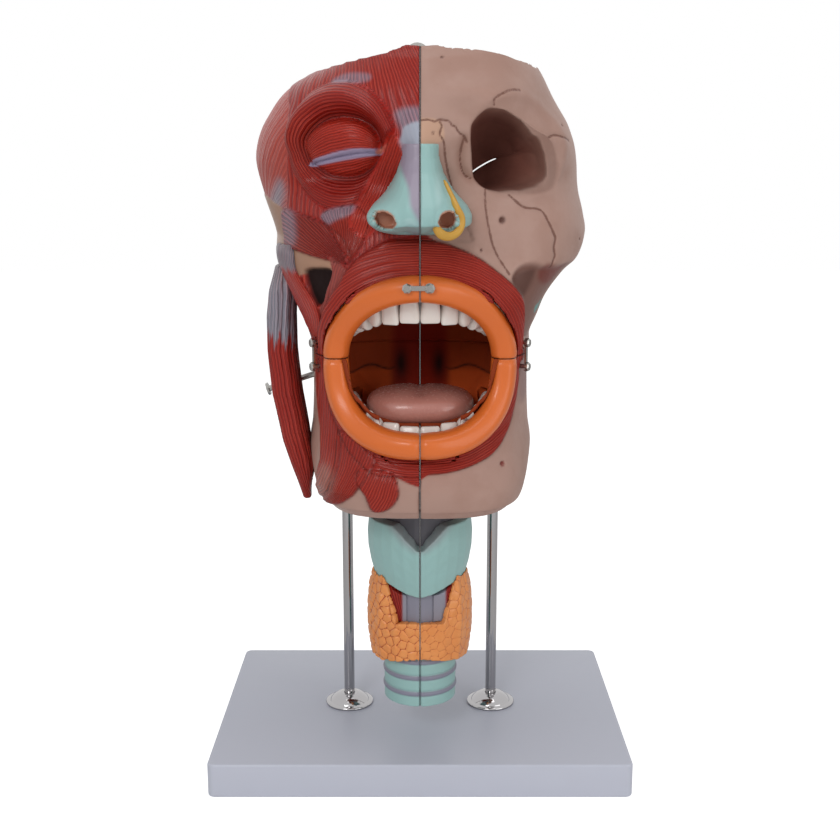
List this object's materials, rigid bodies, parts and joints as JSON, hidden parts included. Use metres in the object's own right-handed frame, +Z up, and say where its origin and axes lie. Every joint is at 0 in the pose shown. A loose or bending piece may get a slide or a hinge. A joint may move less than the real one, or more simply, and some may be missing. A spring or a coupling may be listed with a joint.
{
  "type": "anatomical head model",
  "caption": "Enlarged anatomical head and neck on a two-rod stand: muscles on one half, skull on the other, jaws wide open, split into lift-off quarters held by hooks.",
  "frame": {"origin": "centre of the board's underside", "axes": "+Z up, +X to the viewer's right (the model's left side), the face looks towards -Y"},
  "size_m": [0.3, 0.2683, 0.5128],
  "materials": {
    "skull_bone": "moulded, satin, matt painted",
    "muscle_red": "moulded, satin, hand painted fibres",
    "lip_orange": "moulded, soft gloss",
    "lining_brown": "moulded, satin",
    "tooth_white": "gloss",
    "cartilage_teal": "satin",
    "cricoid_lilac": "satin",
    "gland_orange": "soft gloss",
    "ring_yellow": "satin",
    "tongue_pink": "gloss",
    "board_grey": "smooth, soft gloss",
    "rod_chrome": "polished",
    "fastener_steel": "plain"
  },
  "bodies": {
    "stand": {"base_board": "board_grey", "right_rod": "rod_chrome", "left_rod": "rod_chrome", "right_rod_flange": "rod_chrome", "left_rod_flange": "rod_chrome", "right_rod_bolt": "fastener_steel", "left_rod_bolt": "fastener_steel", "right_rod_washer": "fastener_steel", "left_rod_washer": "fastener_steel"},
    "lower_right_quarter": {"lower_right_shell": "muscle_red", "lower_right_lining": "lining_brown", "lower_right_lip": "lip_orange", "lower_right_teeth": "tooth_white", "right_trachea": "cartilage_teal", "right_thyroid_membrane": "cricoid_lilac", "right_cricoid": "cricoid_lilac", "right_cricothyroid_muscle": "muscle_red", "right_thyroid_cartilage": "cartilage_teal", "right_thyroid_gland": "gland_orange", "right_spool_stud": "fastener_steel", "chin_screw": "fastener_steel", "right_corner_stud": "fastener_steel"},
    "lower_left_quarter": {"lower_left_shell": "skull_bone", "lower_left_lining": "lining_brown", "lower_left_lip": "lip_orange", "lower_left_teeth": "tooth_white", "left_trachea": "cartilage_teal", "left_thyroid_membrane": "cricoid_lilac", "left_cricoid": "cricoid_lilac", "left_cricothyroid_muscle": "muscle_red", "left_thyroid_cartilage": "cartilage_teal", "left_thyroid_gland": "gland_orange", "tongue": "tongue_pink", "chin_stud": "fastener_steel", "left_corner_stud": "fastener_steel"},
    "upper_right_quarter": {"upper_right_shell": "muscle_red", "upper_right_lining": "lining_brown", "upper_right_lip": "lip_orange", "upper_right_teeth": "tooth_white", "right_nasal_cartilage": "cartilage_teal", "right_masseter": "muscle_red", "right_zygomatic_muscle": "muscle_red", "forehead_screw": "fastener_steel", "lip_screw": "fastener_steel", "right_corner_screw": "fastener_steel"},
    "upper_left_quarter": {"upper_left_shell": "skull_bone", "upper_left_lining": "lining_brown", "upper_left_lip": "lip_orange", "upper_left_teeth": "tooth_white", "left_nasal_cartilage": "cartilage_teal", "left_alar_ring": "ring_yellow", "forehead_stud": "fastener_steel", "lip_stud": "fastener_steel", "left_corner_screw": "fastener_steel"},
    "forehead_hook": {"forehead_hook": "fastener_steel"},
    "lip_hook": {"lip_hook": "fastener_steel"},
    "chin_hook": {"chin_hook": "fastener_steel"},
    "right_corner_hook": {"right_corner_hook": "fastener_steel"},
    "left_corner_hook": {"left_corner_hook": "fastener_steel"}
  },
  "joints": [
    {"name": "right_swing", "type": "hinge", "parent": "stand", "child": "lower_right_quarter", "pos_m": [-0.055, 0, 0], "axis": [0, 0, -1], "range_deg": [0, 90]},
    {"name": "left_swing", "type": "hinge", "parent": "stand", "child": "lower_left_quarter", "pos_m": [0.055, 0, 0], "axis": [0, 0, 1], "range_deg": [0, 90]},
    {"name": "right_lift", "type": "slide", "parent": "lower_right_quarter", "child": "upper_right_quarter", "axis": [0, 0, 1], "range_m": [0, 0.03]},
    {"name": "left_lift", "type": "slide", "parent": "lower_left_quarter", "child": "upper_left_quarter", "axis": [0, 0, 1], "range_m": [0, 0.03]},
    {"name": "forehead_hook_turn", "type": "hinge", "parent": "upper_right_quarter", "child": "forehead_hook", "pos_m": [-0.008, -0.09376, 0.505], "axis": [0, -1, 0], "range_deg": [0, 110]},
    {"name": "lip_hook_turn", "type": "hinge", "parent": "upper_right_quarter", "child": "lip_hook", "pos_m": [-0.008, -0.1422, 0.363], "axis": [0, -1, 0], "range_deg": [0, 110]},
    {"name": "chin_hook_turn", "type": "hinge", "parent": "lower_right_quarter", "child": "chin_hook", "pos_m": [-0.008, -0.091, 0.207], "axis": [0, 0, -1], "range_deg": [0, 100]},
    {"name": "right_corner_hook_turn", "type": "hinge", "parent": "upper_right_quarter", "child": "right_corner_hook", "pos_m": [-0.06957, -0.09247, 0.322], "axis": [0.901, 0.4339, 0], "range_deg": [0, 110]},
    {"name": "left_corner_hook_turn", "type": "hinge", "parent": "upper_left_quarter", "child": "left_corner_hook", "pos_m": [0.06952, -0.09247, 0.322], "axis": [0.901, -0.4339, 0], "range_deg": [0, 110]}
  ]
}
